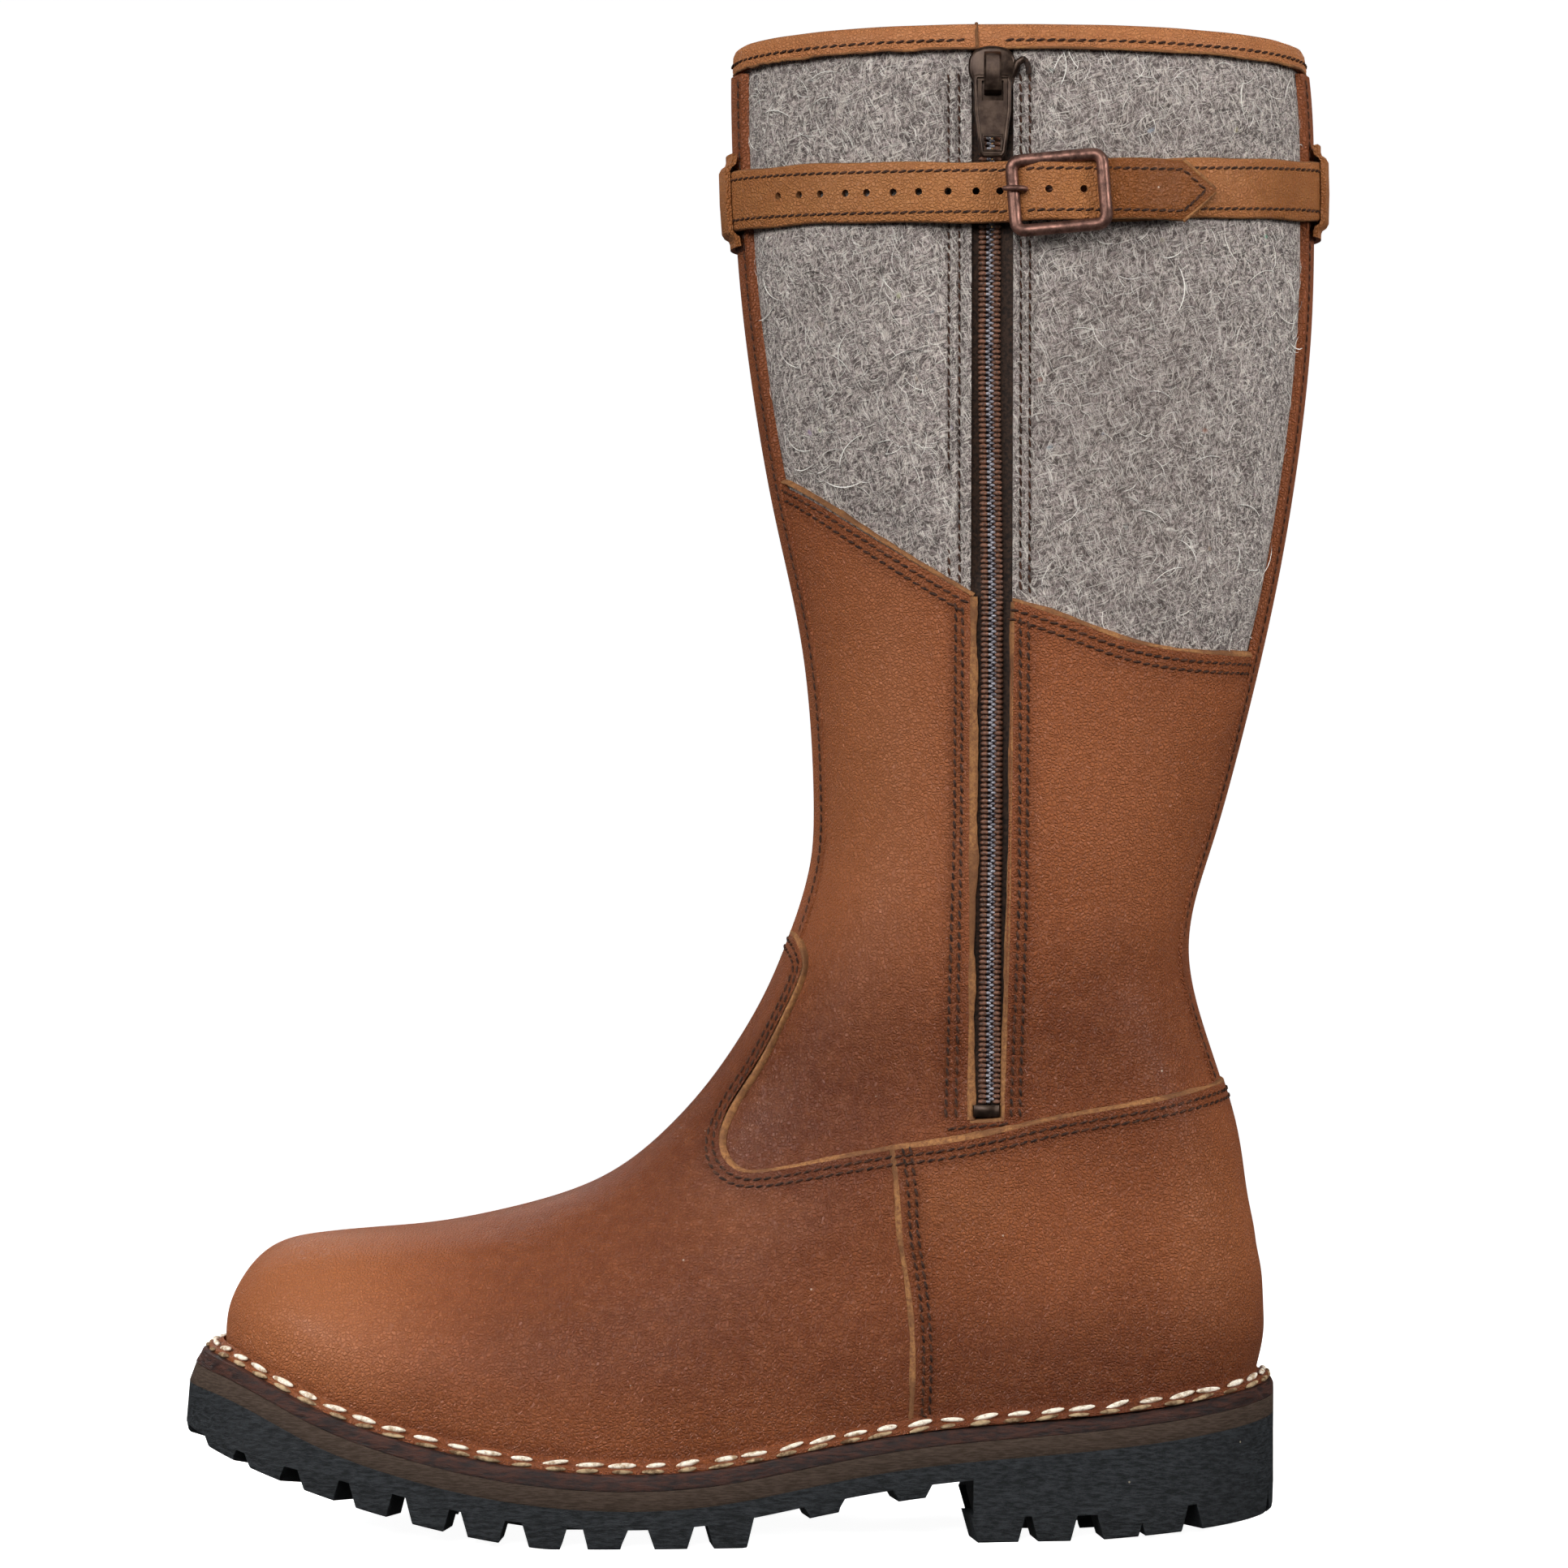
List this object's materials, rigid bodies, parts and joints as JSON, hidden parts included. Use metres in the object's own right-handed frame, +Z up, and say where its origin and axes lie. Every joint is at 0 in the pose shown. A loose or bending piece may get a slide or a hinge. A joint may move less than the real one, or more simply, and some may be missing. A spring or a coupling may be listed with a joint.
{
  "type": "hunting boot",
  "caption": "Tall pull-on left hunting boot of leather and felt, with a side zip, a buckled strap at the calf and a stitched welt over a lugged rubber sole.",
  "frame": {"origin": "middle of the bounding box's footprint, on the floor that the sole stands on", "axes": "-X towards the toe, +X towards the heel, -Y to the outer side with the zip, +Z up"},
  "size_m": [0.3266, 0.1123, 0.4215],
  "materials": {
    "leather": "oiled cognac cowhide, fine grain, satin",
    "strap_leather": "tan strap leather, satin",
    "felt": "grey heather wool felt, matt",
    "welt_leather": "burnished dark edge",
    "midsole": "buffed grey-brown sole board",
    "rubber": "moulded blue-black rubber, matt",
    "zip_fabric": "dark brown woven tape and coil",
    "zip_metal": "dark brown lacquered die casting",
    "copper": "antique copper plate, worn at the edges",
    "insole_leather": "natural undyed leather board"
  },
  "bodies": {
    "boot": {"vamp": "leather", "counter": "leather", "shaft_leather_front": "leather", "shaft_leather_rear": "leather", "shaft_leather_inner": "leather", "front_strip": "leather", "back_strip": "leather", "collar_binding": "leather", "strap": "strap_leather", "keeper_front": "strap_leather", "keeper_back": "strap_leather", "upper": "felt", "welt": "welt_leather", "midsole": "midsole", "outsole": "rubber", "heel": "rubber", "zip_tape_front": "zip_fabric", "zip_tape_rear": "zip_fabric", "zip_chain": "zip_fabric", "zip_slider": "zip_metal", "zip_stop": "zip_metal", "buckle": "copper", "buckle_prong": "copper", "insole": "insole_leather"},
    "pull": {"zip_pull": "zip_metal"}
  },
  "joints": [
    {"name": "pull_tab", "type": "hinge", "parent": "boot", "child": "pull", "pos_m": [0.0669, -0.04888, 0.407], "axis": [-1, 0, 0], "range_deg": [0, 130]}
  ]
}
